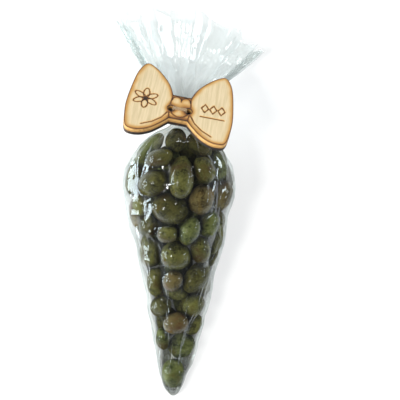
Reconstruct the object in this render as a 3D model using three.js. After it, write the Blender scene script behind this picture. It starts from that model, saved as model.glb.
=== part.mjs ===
// A clear film cone bag filled with powder-coated nuts. Its neck is gathered by a twist tie that also
// holds a laser-cut plywood bow, and the spare film above the tie fans out as a pleated ruffle.
//
// Millimetres, +Z up. The bag lies on its back as on a table: the tip points to -Y, the ruffle to +Y,
// and the bow faces up. Lengths along the bag are measured from the tip until the last lines, which
// move the whole part so that the middle of its footprint is the origin.
import * as THREE from "three";

// Bag body, from the tip to the tie
const BODY_LENGTH = 184;
const BODY_WIDTH = 76;
const BODY_HEIGHT = 60;
const SHOULDER_LENGTH = 38;
const NECK_LENGTH = 8; // the gathered stretch between the shoulder and the tie
const WIDEST_FROM_TIP = BODY_LENGTH - SHOULDER_LENGTH - NECK_LENGTH;
const TIP_RADIUS = 8;
const TIP_DRIFT = 4.5; // how far the tip lies to the left of the neck
const FLATTENING = 0.88; // how low the lying bag's flat underside is, as a share of a full oval
const FILM = 0.4; // the film's wall
const FILM_SAG = 3.4; // how far the film is drawn in between the nuts
const SHRINK_ROUNDS = 60;
const SHRINK_PULL = 0.16; // in each round

// Neck, gathered by the tie
const NECK_WIDTH = 7;
const NECK_HEIGHT = 43; // of its middle, above the table
const NECK_BLEND = 8; // softness of the curve from the shoulder into the neck
const GATHER_LENGTH = 26; // how far the neck's pleats run down the shoulder
const PLEATS = 16;
const AROUND = 4 * PLEATS; // the film's points in each row round the bag
const NECK_PLEAT_DEPTH = 0.9;

// Ruffle of spare film above the tie
const RUFFLE_LENGTH = 75;
const RUFFLE_SPREAD = 76; // degrees from edge to edge
const RUFFLE_LEAN = 8; // degrees, to the right
const RUFFLE_DEPTH = 26;
const RUFFLE_SLANT = 4; // how much longer its left edge is than its middle
const RUFFLE_DROOP = 20; // how far its rim hangs below the neck
const LAYER_GAP = 1.2; // between the ruffle's upper film and lower film, where the bow presses on both
const RUFFLE_RISE = 0.35; // how steeply its upper film lifts again past the bow
const RIM_PLEAT_DEPTH = 3.4;
const RIM_ZIGZAG = 1.6;

// Rows of the film's points
const TIP_ROWS = 4;
const CONE_ROWS = 22;
const SHOULDER_ROWS = 8;
const NECK_ROWS = 5;
const RUFFLE_ROWS = 9;

// Plywood bow
const BOW_WIDTH = 68;
const BOW_THICKNESS = 6;
const WING_TOP = 34.5; // above the line through the holes
const WING_BOTTOM = 22; // below it
const KNOT_WIDTH = 11.6;
const KNOT_TOP = 11.4;
const KNOT_BOTTOM = 8.3;
const HOLE_SPACING = 11;
const HOLE_DIAMETER = 4.4;
const BOW_TURN = 7.5; // degrees clockwise, seen from above
const BOW_ROLL = 8; // degrees, right side down
const WING_STEPS = 42;
const HOLE_STEPS = 18;

// Twist tie: a flat clear band through both holes and round the neck
const TIE_WIDTH = 2.2;
const TIE_THICKNESS = 0.7;
const TIE_TAIL = 12;

// Nuts, as the sizes of a common one before each is fitted to its place
const NUT_LENGTH = 22;
const NUT_WIDTH = 17;
const NUT_THICKNESS = 14.5;
const NUT_SPREAD = 0.12; // how much sizes vary, as a share
const NUT_TAPER = 0.05; // how much one end is thinner than the other

const CLEARANCE = 0.3; // between pieces that touch
const FLATS = 0.25; // how far the film's flat facets may cut inside its true curve
const TIE_PLACE = BODY_LENGTH - TIE_WIDTH / 2 - 2 * CLEARANCE; // of its middle, from the tip

// Nuts against the clear front of the bag, laid out for a filling this long and nuts of this size
const LAYOUT_FILLING = 176;
const LAYOUT_NUT_LENGTH = 22;
const LAYOUT_NUT_WIDTH = 17;
// Place across (a share of the half width there) and from the tip, length, width, and the turn of the
// long axis from +X in degrees. They lie flat against the film.
const FRONT_NUTS = [
  [-0.1, 10, 17, 12.5, 85],
  [0.1, 30, 18.5, 17, 30],
  [-0.75, 38, 14, 9, 75],
  [-0.05, 48, 18, 16, 15],
  [0.62, 46, 13, 9, 70],
  [-0.5, 57, 14, 11, 40],
  [0.45, 60, 14, 12, 60],
  [-0.25, 64, 24, 16, -15],
  [0.42, 79, 19, 13, 50],
  [-0.12, 76, 15, 13, 60],
  [-0.68, 76, 17, 10, 80],
  [-0.05, 89, 19, 18.5, 20],
  [-0.62, 93, 18, 13, 70],
  [0.5, 95, 17, 12, 110],
  [0.84, 98, 18, 10, 80],
  [0.28, 105, 22, 14, 70],
  [-0.14, 106, 12, 10, 0],
  [-0.6, 107, 15, 13, 45],
  [-0.1, 121, 24, 20, -20],
  [0.62, 116, 17, 12, 75],
  [-0.88, 118, 18, 11, 100],
  [-0.66, 127, 14, 11, 60],
  [0.38, 131, 17, 14, 85],
  [0.78, 131, 18, 12, 75],
  [-0.48, 138, 20, 15.5, 32],
  [0.04, 142, 22, 13, 82],
  [0.36, 146, 15, 11, 105],
  [0.84, 146, 19, 11, 100],
  [-0.86, 142, 17, 11, 85],
  [-0.4, 154, 17, 11, 15],
  [-0.62, 160, 19, 9, 35],
  [0.45, 160, 16, 11, -40],
  [0.04, 165, 14, 11, 70],
];
const BACK_NUT_COUNT = 17;
const CORE_NUT_COUNT = 7;

const PACKING_SEED = 11;
const PACKING_SWEEPS = 260;
const SEED_SCALE = 0.55; // nuts start this small and grow while they push each other apart
const SMALLEST_SCALE = 0.5;
const LARGEST_FRONT_SCALE = 1.2;
const LARGEST_HIDDEN_SCALE = 1.35;
const GROWTH = 0.008; // in each sweep
const SLACK = 0.12; // how squeezed a nut may be and still grow
const LONGEST_PUSH = 1;
const FIT_HALVINGS = 14;
const BACK_FILLING = [0.25, 0.96]; // where nuts lie on the underside, as shares of the filling's length
const CORE_FILLING = [0.45, 0.9]; // and in the middle
const BACK_SHARES = [-0.6, 0.15, 0.75]; // across, in turn

const radians = THREE.MathUtils.degToRad;
const { lerp, smoothstep } = THREE.MathUtils;

// The larger or the smaller of two lengths, with the corner between them rounded over a length
function softMax(a, b, round) {
  const overlap = Math.max(round - Math.abs(a - b), 0) / round;
  return Math.max(a, b) + (overlap * overlap * round) / 4;
}

function softMin(a, b, round) {
  return -softMax(-a, -b, round);
}

// Half the body's width at a length from the tip: a round tip, a straight cone, an oval shoulder, the neck
function bodyRadius(y) {
  const widest = BODY_WIDTH / 2;
  if (y < TIP_RADIUS) {
    return Math.sqrt(Math.max(TIP_RADIUS ** 2 - (TIP_RADIUS - y) ** 2, 0));
  }
  if (y <= WIDEST_FROM_TIP) {
    return lerp(TIP_RADIUS, widest, (y - TIP_RADIUS) / (WIDEST_FROM_TIP - TIP_RADIUS));
  }
  const along = Math.min((y - WIDEST_FROM_TIP) / SHOULDER_LENGTH, 1);
  return softMax(widest * Math.sqrt(1 - along * along), NECK_WIDTH / 2, NECK_BLEND);
}

// The lying bag's cross-section: an oval with a flat underside
function section(y) {
  const across = bodyRadius(y);
  const aspect = BODY_HEIGHT / (1 + FLATTENING) / (BODY_WIDTH / 2);
  const up = across * aspect;
  const resting = FLATTENING * bodyRadius(Math.min(y, WIDEST_FROM_TIP)) * aspect;
  const rise = smoothstep(y, WIDEST_FROM_TIP, BODY_LENGTH);
  const z = lerp(resting, NECK_HEIGHT, rise);
  const drift = Math.max(1 - y / WIDEST_FROM_TIP, 0);
  return { x: -TIP_DRIFT * drift * drift, z, across, up, floor: z - FLATTENING * up };
}

// How deep the neck's pleats are at a length from the tip
function gather(y) {
  return NECK_PLEAT_DEPTH * smoothstep(y, BODY_LENGTH - GATHER_LENGTH, BODY_LENGTH);
}

// Height of the body's upper side with its pleats, or of its middle where the body doesn't reach
function bodyTop(x, y) {
  const s = section(y);
  const share = (x - s.x) / s.across;
  return s.z + s.up * Math.sqrt(Math.max(1 - share * share, 0)) + gather(y);
}

// How far a point lies inside the film's outer face, with that face's outward normal there
function insideBody(point) {
  const step = 0.05;
  const level = (x, y, z) => {
    const s = section(y);
    return Math.hypot((x - s.x) / s.across, (z - s.z) / s.up) - 1;
  };
  const { x, z } = point;
  const y = THREE.MathUtils.clamp(point.y, TIP_RADIUS / 4, BODY_LENGTH);
  const normal = new THREE.Vector3(
    level(x + step, y, z) - level(x - step, y, z),
    level(x, y + step, z) - level(x, y - step, z),
    level(x, y, z + step) - level(x, y, z - step),
  ).divideScalar(2 * step);
  const wall = { depth: -level(x, y, z) / normal.length(), normal: normal.normalize() };
  const slope = (section(y + step).floor - section(y - step).floor) / (2 * step);
  const under = new THREE.Vector3(0, slope, -1);
  const floor = { depth: (z - section(y).floor) / under.length(), normal: under.normalize() };
  const tip = { depth: point.y, normal: new THREE.Vector3(0, -1, 0) };
  return [wall, floor, tip].reduce((a, b) => (b.depth < a.depth ? b : a));
}

// A seeded random number from 0 to 1
function randomFrom(seed) {
  let state = seed;
  return () => {
    state = (state + 0x6d2b79f5) | 0;
    let t = Math.imul(state ^ (state >>> 15), 1 | state);
    t = (t + Math.imul(t ^ (t >>> 7), 61 | t)) ^ t;
    return ((t ^ (t >>> 14)) >>> 0) / 4294967296;
  };
}

// A nut is an ellipsoid while it is packed. Its spread matrix gives its reach in any direction.
function updateSpread(nut) {
  const turn = new THREE.Matrix3().setFromMatrix4(new THREE.Matrix4().makeRotationFromQuaternion(nut.turn));
  const squares = nut.semi.map((half) => (half * nut.scale) ** 2);
  const scaled = turn.clone();
  for (let column = 0; column < 3; column++) {
    for (let row = 0; row < 3; row++) {
      scaled.elements[3 * column + row] *= squares[column];
    }
  }
  nut.spread = scaled.multiply(turn.transpose());
}

function reach(nut, direction) {
  return Math.sqrt(direction.dot(direction.clone().applyMatrix3(nut.spread)));
}

function surfacePoint(nut, direction) {
  return direction.clone().applyMatrix3(nut.spread).divideScalar(reach(nut, direction)).add(nut.centre);
}

// The widest gap between two nuts, negative where they overlap, and the direction it lies in
function gapBetween(a, b) {
  const between = b.centre.clone().sub(a.centre);
  const normal = between.clone();
  const blend = new THREE.Matrix3();
  let share = 0.5;
  let reaches = 0;
  for (let round = 0; round < 5; round++) {
    for (let k = 0; k < 9; k++) {
      blend.elements[k] = lerp(a.spread.elements[k], b.spread.elements[k], share);
    }
    normal.copy(between).applyMatrix3(blend.invert()).normalize();
    const fromA = reach(a, normal);
    const fromB = reach(b, normal);
    reaches = fromA + fromB;
    share = fromA / reaches;
  }
  return { gap: between.dot(normal) - reaches, normal };
}

function mayTouch(a, b) {
  const far = a.scale * a.semi[0] + b.scale * b.semi[0] + CLEARANCE;
  return a.centre.distanceTo(b.centre) < far;
}

// Moves one or two nuts off a contact: mostly sideways, and a little by turning about their middles
function pushApart(movers, missing) {
  if (missing <= 0) return;
  const far = Math.min(missing, LONGEST_PUSH) / 2;
  for (const [nut, from, way] of movers) {
    nut.squeeze = Math.max(nut.squeeze, missing);
    const by = way.clone().multiplyScalar(far);
    const turn = from.clone().sub(nut.centre).cross(by).divideScalar(4 * nut.semi[0] ** 2);
    const angle = turn.length();
    nut.centre.add(by);
    if (angle > 0) {
      nut.turn.premultiply(new THREE.Quaternion().setFromAxisAngle(turn.normalize(), angle)).normalize();
    }
  }
}

// Ways from a nut's middle in which it may meet the film
const WALL_WAYS = [];
for (let k = 0; k < 12; k++) {
  const angle = (k * Math.PI) / 6;
  const lean = k % 2 ? 0.5 : -0.3;
  WALL_WAYS.push(new THREE.Vector3(Math.cos(angle), lean, Math.sin(angle)).normalize());
}
WALL_WAYS.push(new THREE.Vector3(0, -1, 0), new THREE.Vector3(0, 1, 0));

// Where a nut comes nearest to the film in each of those ways
function wallContacts(nut) {
  return WALL_WAYS.map((way) => {
    let at = surfacePoint(nut, way);
    for (let round = 0; round < 3; round++) at = surfacePoint(nut, insideBody(at).normal);
    return { at, ...insideBody(at) };
  });
}

function wallGap(nut) {
  return Math.min(...wallContacts(nut).map((contact) => contact.depth)) - FILM - FLATS - CLEARANCE;
}

// A nut lying flat against the film's upper side, or its underside
function nutOnFilm(share, along, length, width, turn, below) {
  const s = section(along);
  const angle = Math.acos(THREE.MathUtils.clamp(share, -0.95, 0.95));
  const side = below ? -1 : 1;
  const thickness = (width * NUT_THICKNESS) / NUT_WIDTH;
  const axis = new THREE.Vector3(s.x, along, s.z);
  const out = new THREE.Vector3(s.across * Math.cos(angle), 0, side * s.up * Math.sin(angle));
  const film = axis.clone().add(out);
  const outward = insideBody(film.clone().lerp(axis, 0.05)).normal;
  const long = new THREE.Vector3(Math.cos(radians(turn)), Math.sin(radians(turn)), 0);
  long.addScaledVector(outward, -long.dot(outward)).normalize();
  const basis = new THREE.Matrix4().makeBasis(long, outward.clone().cross(long), outward);
  return {
    centre: film.addScaledVector(outward, -thickness / 2 - FILM - CLEARANCE),
    turn: new THREE.Quaternion().setFromRotationMatrix(basis),
    semi: [length / 2, width / 2, thickness / 2],
  };
}

// Nuts in the middle of the bag, at any angle
function nutInCore(along, random) {
  const s = section(along);
  const turn = new THREE.Euler(random() * Math.PI, random() * Math.PI, random() * Math.PI);
  return {
    centre: new THREE.Vector3(s.x + (random() - 0.5) * s.across * 0.4, along, s.z - s.up * 0.1),
    turn: new THREE.Quaternion().setFromEuler(turn),
    semi: [NUT_LENGTH / 2, NUT_WIDTH / 2, NUT_THICKNESS / 2],
  };
}

// Lengths from the tip that share a stretch of the filling evenly between a number of nuts
function evenStations(count, fromShare, toShare) {
  const slices = 200;
  const from = fromShare * (WIDEST_FROM_TIP + SHOULDER_LENGTH);
  const to = toShare * (WIDEST_FROM_TIP + SHOULDER_LENGTH);
  const ends = [0];
  for (let k = 0; k < slices; k++) {
    const y = lerp(from, to, (k + 0.5) / slices);
    ends.push(ends[k] + bodyRadius(y));
  }
  const stations = [];
  for (let n = 0; n < count; n++) {
    const wanted = (ends[slices] * (n + 0.5)) / count;
    const slice = ends.findIndex((end) => end >= wanted);
    stations.push(lerp(from, to, slice / slices));
  }
  return stations;
}

function startingNuts() {
  const random = randomFrom(PACKING_SEED);
  const shoulderEnd = WIDEST_FROM_TIP + SHOULDER_LENGTH;
  const front = FRONT_NUTS.map(([share, along, length, width, turn]) => {
    const place = (along * shoulderEnd) / LAYOUT_FILLING;
    const long = (length * NUT_LENGTH) / LAYOUT_NUT_LENGTH;
    const wide = (width * NUT_WIDTH) / LAYOUT_NUT_WIDTH;
    return nutOnFilm(share, place, long, wide, turn, false);
  });
  const back = evenStations(BACK_NUT_COUNT, ...BACK_FILLING).map((along, k) => {
    const room = ((1 + FLATTENING) * section(along).up) / (2 * NUT_THICKNESS);
    const size = (1 + NUT_SPREAD * (2 * random() - 1)) * Math.min(room, 1);
    const share = BACK_SHARES[k % BACK_SHARES.length] * smoothstep(along, 0, shoulderEnd / 2);
    return nutOnFilm(share, along, NUT_LENGTH * size, NUT_WIDTH * size, 180 * random(), true);
  });
  const core = evenStations(CORE_NUT_COUNT, ...CORE_FILLING).map((along) => nutInCore(along, random));
  const packed = (nuts, largest) => nuts.map((nut) => ({ ...nut, scale: SEED_SCALE, largest }));
  return [...packed(front, LARGEST_FRONT_SCALE), ...packed([...back, ...core], LARGEST_HIDDEN_SCALE)];
}

// Grows the nuts in place while those that overlap push each other, and the film pushes them in. A nut
// that is squeezed stops growing, and shrinks if it stays squeezed.
function packNuts(nuts) {
  for (const nut of nuts) updateSpread(nut);
  for (let sweep = 0; sweep < PACKING_SWEEPS; sweep++) {
    for (const nut of nuts) nut.squeeze = 0;
    nuts.forEach((a, k) => {
      for (const { at, depth, normal } of wallContacts(a)) {
        pushApart([[a, at, normal.negate()]], FILM + FLATS + CLEARANCE - depth);
      }
      for (const b of nuts.slice(k + 1)) {
        if (!mayTouch(a, b)) continue;
        const { gap, normal } = gapBetween(a, b);
        const back = normal.clone().negate();
        pushApart([[a, surfacePoint(a, normal), back], [b, surfacePoint(b, back), normal]], CLEARANCE - gap);
      }
    });
    for (const nut of nuts) {
      const change = nut.squeeze < SLACK ? GROWTH : -GROWTH / 3;
      nut.scale = THREE.MathUtils.clamp(nut.scale * (1 + change), SMALLEST_SCALE, nut.largest);
      updateSpread(nut);
    }
  }
}

// Sizes each nut in turn so that it just clears its neighbours and the film
function fitNuts(nuts) {
  for (const nut of nuts) updateSpread(nut);
  for (const nut of nuts) {
    const near = nuts.filter((other) => {
      return other !== nut && nut.centre.distanceTo(other.centre) < 2.5 * NUT_LENGTH;
    });
    let small = SMALLEST_SCALE / 2;
    let large = 1.4 * nut.scale;
    for (let halving = 0; halving < FIT_HALVINGS; halving++) {
      nut.scale = (small + large) / 2;
      updateSpread(nut);
      const clear = wallGap(nut) >= 0 && near.every((other) => gapBetween(nut, other).gap >= CLEARANCE);
      if (clear) small = nut.scale;
      else large = nut.scale;
    }
    nut.scale = small;
    updateSpread(nut);
  }
}

// A closed solid with one smooth coat: an ellipsoid that is a little thinner towards one end
function nutMesh(nut, number, random) {
  const geometry = new THREE.SphereGeometry(1, 12, 6).rotateZ(Math.PI / 2);
  const position = geometry.getAttribute("position");
  const taper = NUT_TAPER * random();
  for (let k = 0; k < position.count; k++) {
    const along = position.getX(k);
    const thinner = 1 - (taper * (along + 1)) / 2;
    position.setXYZ(k, along, position.getY(k) * thinner, position.getZ(k) * thinner);
  }
  geometry.scale(...nut.semi.map((half) => half * nut.scale));
  geometry.computeVertexNormals();
  const shade = new THREE.Color(0x4f5430).lerp(new THREE.Color(0x6a6238), random());
  const coat = new THREE.MeshStandardMaterial({ color: shade, roughness: 0.75, metalness: 0 });
  const mesh = new THREE.Mesh(geometry, coat);
  mesh.name = `nut_${String(number).padStart(2, "0")}`;
  mesh.position.copy(nut.centre);
  mesh.quaternion.copy(nut.turn);
  return mesh;
}

function packedNuts() {
  const packed = startingNuts();
  packNuts(packed);
  fitNuts(packed);
  return packed;
}

// The bow's outline, in its own plane: one spline down each wing, and a straight knot between them
function bowShape() {
  const half = BOW_WIDTH / 2;
  const knot = KNOT_WIDTH / 2;
  const wing = [
    [knot, KNOT_TOP],
    [half * 0.27, WING_TOP * 0.57],
    [half * 0.45, WING_TOP * 0.8],
    [half * 0.61, WING_TOP * 0.94],
    [half * 0.75, WING_TOP],
    [half * 0.86, WING_TOP * 0.87],
    [half * 0.94, WING_TOP * 0.58],
    [half, 0],
    [half * 0.98, -WING_BOTTOM * 0.55],
    [half * 0.93, -WING_BOTTOM * 0.9],
    [half * 0.83, -WING_BOTTOM],
    [half * 0.65, -WING_BOTTOM * 0.98],
    [half * 0.46, -WING_BOTTOM * 0.83],
    [half * 0.3, -WING_BOTTOM * 0.6],
    [knot, -KNOT_BOTTOM],
  ];
  const control = wing.map(([x, y]) => new THREE.Vector2(x, y));
  const right = new THREE.SplineCurve(control).getPoints(WING_STEPS);
  const left = right.map((point) => new THREE.Vector2(-point.x, point.y)).reverse();
  const shape = new THREE.Shape([...right, ...left]);
  for (const side of [-1, 1]) {
    const rim = [];
    for (let k = 0; k < HOLE_STEPS; k++) {
      const spoke = new THREE.Vector2(HOLE_DIAMETER / 2, 0);
      spoke.rotateAround(new THREE.Vector2(), (2 * Math.PI * k) / HOLE_STEPS);
      rim.push(spoke.add(new THREE.Vector2((side * HOLE_SPACING) / 2, 0)));
    }
    shape.holes.push(new THREE.Path(rim));
  }
  return shape;
}

function bowGeometry() {
  return new THREE.ExtrudeGeometry(bowShape(), { depth: BOW_THICKNESS, bevelEnabled: false });
}

// Stands the bow on the neck and leans it back until its lower wings lie on the shoulder
function bowPlacement(geometry) {
  const place = new THREE.Object3D();
  const neck = section(BODY_LENGTH);
  const neckTop = neck.z + neck.up + NECK_PLEAT_DEPTH;
  const lift = CLEARANCE + neck.across * Math.tan(radians(BOW_ROLL)) + BODY_LENGTH - TIE_PLACE;
  place.position.set(neck.x, TIE_PLACE, neckTop + lift);
  const position = geometry.getAttribute("position");
  const under = new THREE.Vector3();
  const clears = (lean) => {
    place.rotation.set(-radians(lean), radians(BOW_ROLL), -radians(BOW_TURN));
    place.updateMatrix();
    for (let k = 0; k < position.count; k++) {
      for (let share = 0.25; share <= 1; share += 0.25) {
        under.set(position.getX(k), share * position.getY(k), 0).applyMatrix4(place.matrix);
        const s = section(under.y);
        const over = position.getY(k) < 0 && Math.abs(under.x - s.x) < s.across;
        if (over && under.z < bodyTop(under.x, under.y) + CLEARANCE) return false;
      }
    }
    return true;
  };
  let low = 0;
  let high = 60;
  for (let halving = 0; halving < 16; halving++) {
    const lean = (low + high) / 2;
    if (clears(lean)) high = lean;
    else low = lean;
  }
  clears(high);
  return place;
}

// The height of the bow's back face over a place, rising again past the top of its wings
function bowBack(place, x, y) {
  const out = new THREE.Vector3(0, 0, 1).applyQuaternion(place.quaternion);
  const past = Math.max(y - place.position.y - Math.hypot(WING_TOP, BOW_WIDTH / 4), 0);
  const slope = (out.x * (x - place.position.x) + out.y * (y - past - place.position.y)) / out.z;
  return place.position.z - slope + RUFFLE_RISE * past;
}

// A triangle wave between -1 and 1, one turn for each pleat
function pleat(angle) {
  return (2 / Math.PI) * Math.asin(Math.cos(PLEATS * angle));
}

// A point of the body's film, at a length from the tip and an angle round the bag from its right side
function bodyPoint(y, angle) {
  const s = section(y);
  const fold = gather(y) * pleat(angle);
  const x = s.x + (s.across + fold) * Math.cos(angle);
  const z = s.z + (s.up + fold) * Math.sin(angle);
  return new THREE.Vector3(x, y, Math.max(z, s.floor));
}

// A point of the ruffle, from 0 at the tie to 1 at its rim
function rufflePoint(share, angle, place) {
  const neck = section(BODY_LENGTH);
  const side = Math.sin((Math.PI / 2) * Math.cos(angle));
  const sway = radians(RUFFLE_LEAN) + (radians(RUFFLE_SPREAD) / 2) * side;
  const rim = RUFFLE_LENGTH - RUFFLE_SLANT * Math.cos(angle) + RIM_ZIGZAG * pleat(angle + 1 / PLEATS);
  const far = share * rim;
  const depth = lerp(NECK_PLEAT_DEPTH, RIM_PLEAT_DEPTH, share);
  const fold = depth * pleat(angle);
  const flare = (RUFFLE_DEPTH / 2) * share ** 0.8;
  const x = neck.x + (neck.across + fold) * Math.cos(angle) + far * Math.sin(sway);
  const y = BODY_LENGTH + far * Math.cos(sway);
  const z = neck.z - RUFFLE_DROOP * share + (neck.up + flare + fold) * Math.sin(angle);
  const pressed = LAYER_GAP * (1 - Math.sin(angle)) + (depth - fold) * Math.max(Math.sin(angle), 0);
  return new THREE.Vector3(x, y, softMin(z, bowBack(place, x, y) - CLEARANCE - pressed, 1));
}

// Lengths from the tip of the film's rows, closer together where the bag bends
function bodyStations() {
  const stations = [];
  const spread = (count, place) => {
    for (let row = 1; row <= count; row++) stations.push(place(row / count));
  };
  spread(TIP_ROWS, (share) => TIP_RADIUS * (1 - Math.cos((share * Math.PI) / 2)));
  spread(CONE_ROWS, (share) => lerp(TIP_RADIUS, WIDEST_FROM_TIP, share));
  spread(SHOULDER_ROWS, (share) => WIDEST_FROM_TIP + SHOULDER_LENGTH * Math.sin((share * Math.PI) / 2));
  spread(NECK_ROWS, (share) => lerp(WIDEST_FROM_TIP + SHOULDER_LENGTH, BODY_LENGTH, share));
  return stations;
}

// How far out the farthest nut ends on a ray from the bag's axis, or 0 where the ray meets none
function nutReach(y, angle, packed) {
  const s = section(y);
  const axis = new THREE.Vector3(s.x, y, s.z);
  const way = bodyPoint(y, angle).sub(axis).normalize();
  let farthest = 0;
  for (const nut of packed) {
    const from = axis.clone().sub(nut.centre);
    if (Math.abs(from.y) > nut.semi[0] * nut.scale) continue;
    const shapedWay = way.clone().applyMatrix3(nut.shape);
    const a = way.dot(shapedWay);
    const b = from.dot(shapedWay);
    const c = from.dot(from.clone().applyMatrix3(nut.shape)) - 1;
    const meets = b * b - a * c;
    if (meets > 0) farthest = Math.max(farthest, (Math.sqrt(meets) - b) / a);
  }
  return farthest;
}

// How far in from its loose form the film may be drawn at each point, until it lies on the nuts. It stays
// loose where it rests on the table and where it narrows to the neck.
function roomToShrink(stations, packed) {
  const step = (2 * Math.PI) / AROUND;
  return stations.map((y, row) => {
    const s = section(y);
    const before = (y + stations[Math.max(row - 1, 0)]) / 2;
    const after = (y + stations[Math.min(row + 1, stations.length - 1)]) / 2;
    const open = 1 - smoothstep(y, WIDEST_FROM_TIP, WIDEST_FROM_TIP + SHOULDER_LENGTH);
    const room = [];
    for (let k = 0; k < AROUND; k++) {
      const film = bodyPoint(y, k * step);
      const loose = Math.hypot(film.x - s.x, film.z - s.z);
      let taut = 0;
      for (const along of [before, y, after]) {
        for (const turn of [-0.5, 0, 0.5]) taut = Math.max(taut, nutReach(along, (k + turn) * step, packed));
      }
      const gap = loose - taut - FILM - 2 * CLEARANCE;
      const sag = film.z > s.floor ? Math.min(FILM_SAG * open, loose / 4) : 0;
      room.push(THREE.MathUtils.clamp(gap, 0, sag));
    }
    return room;
  });
}

// How far in the film is drawn at each point: it bridges the hollows between the nuts
function shrink(room) {
  let drawn = room.map((row) => row.map(() => 0));
  for (let round = 0; round < SHRINK_ROUNDS; round++) {
    drawn = room.map((row, r) =>
      row.map((most, k) => {
        const below = drawn[Math.max(r - 1, 0)][k];
        const above = drawn[Math.min(r + 1, room.length - 1)][k];
        const beside = drawn[r][(k + 1) % AROUND] + drawn[r][(k + AROUND - 1) % AROUND];
        return Math.min((below + above + beside) / 4 + SHRINK_PULL, most);
      }),
    );
  }
  return drawn;
}

// One sheet of film from the tip to the rim, given its wall on the inside
function bagGeometry(place, packed) {
  for (const nut of packed) nut.shape = nut.spread.clone().invert();
  const stations = bodyStations();
  const drawn = shrink(roomToShrink(stations, packed));
  const points = [];
  stations.forEach((y, row) => {
    const s = section(y);
    const axis = new THREE.Vector3(s.x, y, s.z);
    for (let k = 0; k < AROUND; k++) {
      const film = bodyPoint(y, (k * 2 * Math.PI) / AROUND).sub(axis);
      points.push(film.setLength(film.length() - drawn[row][k]).add(axis));
    }
  });
  for (let row = 1; row <= RUFFLE_ROWS; row++) {
    for (let k = 0; k < AROUND; k++) {
      points.push(rufflePoint(row / RUFFLE_ROWS, (k * 2 * Math.PI) / AROUND, place));
    }
  }
  return wallGeometry(points);
}

// Closes rows of points round the bag, below a pole at the tip, into a wall of even thickness
function wallGeometry(rows) {
  const tip = bodyPoint(0, 0);
  const count = rows.length / AROUND;
  const at = (row, k) => 1 + row * AROUND + (k % AROUND);
  const outside = [];
  for (let k = 0; k < AROUND; k++) outside.push(0, at(0, k), at(0, k + 1));
  for (let row = 0; row + 1 < count; row++) {
    for (let k = 0; k < AROUND; k++) {
      outside.push(at(row, k), at(row + 1, k), at(row + 1, k + 1));
      outside.push(at(row, k), at(row + 1, k + 1), at(row, k + 1));
    }
  }
  const outer = [tip, ...rows];
  const sheet = new THREE.BufferGeometry().setFromPoints(outer).setIndex(outside);
  sheet.computeVertexNormals();
  const normals = sheet.getAttribute("normal");
  const inner = outer.map((point, k) => {
    const normal = new THREE.Vector3().fromBufferAttribute(normals, k);
    return point.clone().addScaledVector(normal, -FILM);
  });
  const shift = outer.length;
  const inside = [];
  for (let k = 0; k < outside.length; k += 3) {
    inside.push(outside[k] + shift, outside[k + 2] + shift, outside[k + 1] + shift);
  }
  const rim = [];
  for (let k = 0; k < AROUND; k++) {
    const a = at(count - 1, k);
    const b = at(count - 1, k + 1);
    rim.push(a, a + shift, b + shift, a, b + shift, b);
  }
  const wall = new THREE.BufferGeometry().setFromPoints([...outer, ...inner]);
  wall.setIndex([...outside, ...inside, ...rim]);
  wall.computeVertexNormals();
  return wall;
}

// The tie's stations on one side of the neck, each a point in the middle of the band and the way of the
// band's width: over the front of the knot, down through a hole, round the neck and out behind it
function tieSide(place, side) {
  const half = TIE_THICKNESS / 2;
  const inHole = Math.sqrt((HOLE_DIAMETER / 2) ** 2 - (TIE_WIDTH / 2) ** 2) - half - CLEARANCE;
  const hole = HOLE_SPACING / 2 - inHole;
  const front = BOW_THICKNESS + CLEARANCE + half;
  const onBow = (x, z) => ({
    at: new THREE.Vector3(side * x, 0, z).applyMatrix4(place.matrix),
    width: new THREE.Vector3(0, 1, 0).applyQuaternion(place.quaternion),
  });
  const neck = section(TIE_PLACE);
  const grip = NECK_PLEAT_DEPTH + CLEARANCE + half;
  const roundNeck = (x, z) => ({
    at: new THREE.Vector3(neck.x + side * x, TIE_PLACE, neck.z + z),
    width: new THREE.Vector3(0, 1, 0),
  });
  const stations = [onBow(hole - TIE_THICKNESS, front), onBow(hole - half / 2, front - half / 2)];
  stations.push(onBow(hole, front - TIE_THICKNESS), onBow(hole, BOW_THICKNESS / 2), onBow(hole, 0));
  for (let angle = 0; angle >= -75; angle -= 12.5) {
    const turn = radians(angle);
    stations.push(roundNeck((neck.across + grip) * Math.cos(turn), (neck.up + grip) * Math.sin(turn)));
  }
  const tailGap = TIE_THICKNESS / 2 + CLEARANCE / 2;
  stations.push(roundNeck(tailGap, -neck.up - grip - TIE_THICKNESS));
  stations.push(roundNeck(tailGap, -neck.up - grip - TIE_TAIL));
  return stations;
}

// A flat band through a row of stations, closed at both ends
function bandGeometry(stations, width, thickness) {
  const points = [];
  stations.forEach(({ at, width: across }, k) => {
    const before = stations[Math.max(k - 1, 0)].at;
    const after = stations[Math.min(k + 1, stations.length - 1)].at;
    const out = after.clone().sub(before).cross(across).normalize().multiplyScalar(thickness / 2);
    const side = across.clone().multiplyScalar(width / 2);
    points.push(at.clone().add(out).add(side), at.clone().add(out).sub(side));
    points.push(at.clone().sub(out).sub(side), at.clone().sub(out).add(side));
  });
  const faces = [];
  for (let k = 0; k + 4 < points.length; k += 4) {
    for (let edge = 0; edge < 4; edge++) {
      const a = k + edge;
      const b = k + ((edge + 1) % 4);
      faces.push(a, b, b + 4, a, b + 4, a + 4);
    }
  }
  const last = points.length - 4;
  faces.push(0, 2, 1, 0, 3, 2, last, last + 1, last + 2, last, last + 2, last + 3);
  const band = new THREE.BufferGeometry().setFromPoints(points).setIndex(faces).toNonIndexed();
  band.computeVertexNormals();
  return band;
}

function tieGeometry(place) {
  const stations = [...tieSide(place, -1).reverse(), ...tieSide(place, 1)];
  return bandGeometry(stations, TIE_WIDTH, TIE_THICKNESS);
}

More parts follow.
